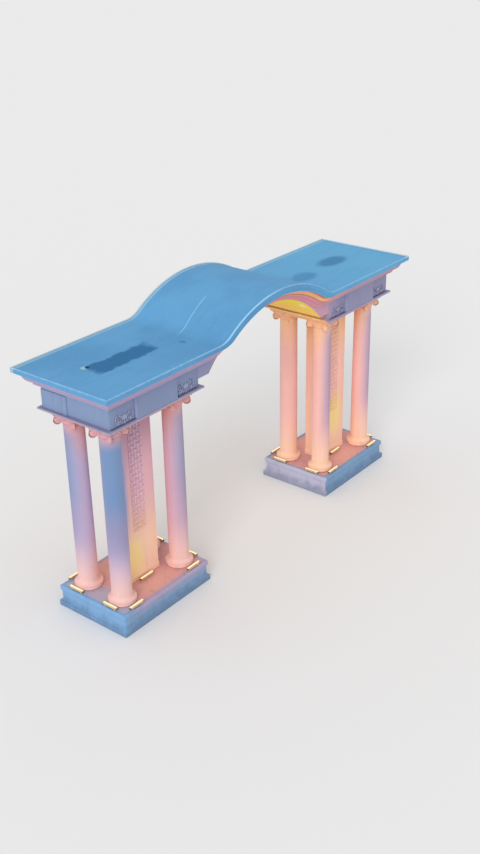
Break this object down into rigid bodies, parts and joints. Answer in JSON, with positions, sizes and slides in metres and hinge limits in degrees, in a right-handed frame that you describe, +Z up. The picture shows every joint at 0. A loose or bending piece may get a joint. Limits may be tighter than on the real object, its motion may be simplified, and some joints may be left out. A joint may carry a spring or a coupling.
{
  "type": "triumphal arch",
  "caption": "Roadside gateway arch: column-and-pier towers on plinths, joined by a swan-neck arch under one cornice and flat roof, lit from the plinths.",
  "frame": {"origin": "on the ground, midway between the two towers and midway through the passage", "axes": "+X along the span to the right tower, +Y through the passage to the back, +Z up"},
  "size_m": [13.036, 3.23, 7.674],
  "materials": {
    "plinth_plaster": "matt white masonry paint over render, streaked and dusty near the ground",
    "column_plaster": "smooth matt white masonry paint over render",
    "pier_plaster": "matt white masonry paint, rough in the carved panels",
    "entablature_plaster": "matt white masonry paint over render, with faint rain streaks",
    "roof_coating": "pale waterproof roof coating, weathered, with damp patches",
    "outlet_pipe": "grey plastic pipe",
    "lamp_body": "grey powder coat",
    "lamp_lens": "frosted cover over warm white light-emitting diodes"
  },
  "bodies": {
    "root": {"left_plinth": "plinth_plaster", "right_plinth": "plinth_plaster", "left_column_bases": "column_plaster", "right_column_bases": "column_plaster", "left_shaft_outer_front": "column_plaster", "left_shaft_outer_back": "column_plaster", "left_shaft_inner_front": "column_plaster", "left_shaft_inner_back": "column_plaster", "right_shaft_inner_front": "column_plaster", "right_shaft_inner_back": "column_plaster", "right_shaft_outer_front": "column_plaster", "right_shaft_outer_back": "column_plaster", "left_capitals": "column_plaster", "right_capitals": "column_plaster", "left_pier": "pier_plaster", "right_pier": "pier_plaster", "left_pier_panels": "pier_plaster", "right_pier_panels": "pier_plaster", "left_architrave": "entablature_plaster", "right_architrave": "entablature_plaster", "left_frieze": "entablature_plaster", "right_frieze": "entablature_plaster", "left_frieze_plaques": "entablature_plaster", "right_frieze_plaques": "entablature_plaster", "left_cornice": "entablature_plaster", "right_cornice": "entablature_plaster", "arch_vault": "entablature_plaster", "arch_cornice_front": "entablature_plaster", "arch_cornice_back": "entablature_plaster", "left_roof": "roof_coating", "arch_roof": "roof_coating", "right_roof": "roof_coating", "roof_lip_front": "roof_coating", "roof_lip_back": "roof_coating", "roof_lip_left": "roof_coating", "roof_lip_right": "roof_coating", "roof_outlet": "outlet_pipe", "left_lamp_bodies": "lamp_body", "right_lamp_bodies": "lamp_body", "left_lamp_lenses": "lamp_lens", "right_lamp_lenses": "lamp_lens", "arch_lamps": "lamp_body"}
  },
  "joints": []
}
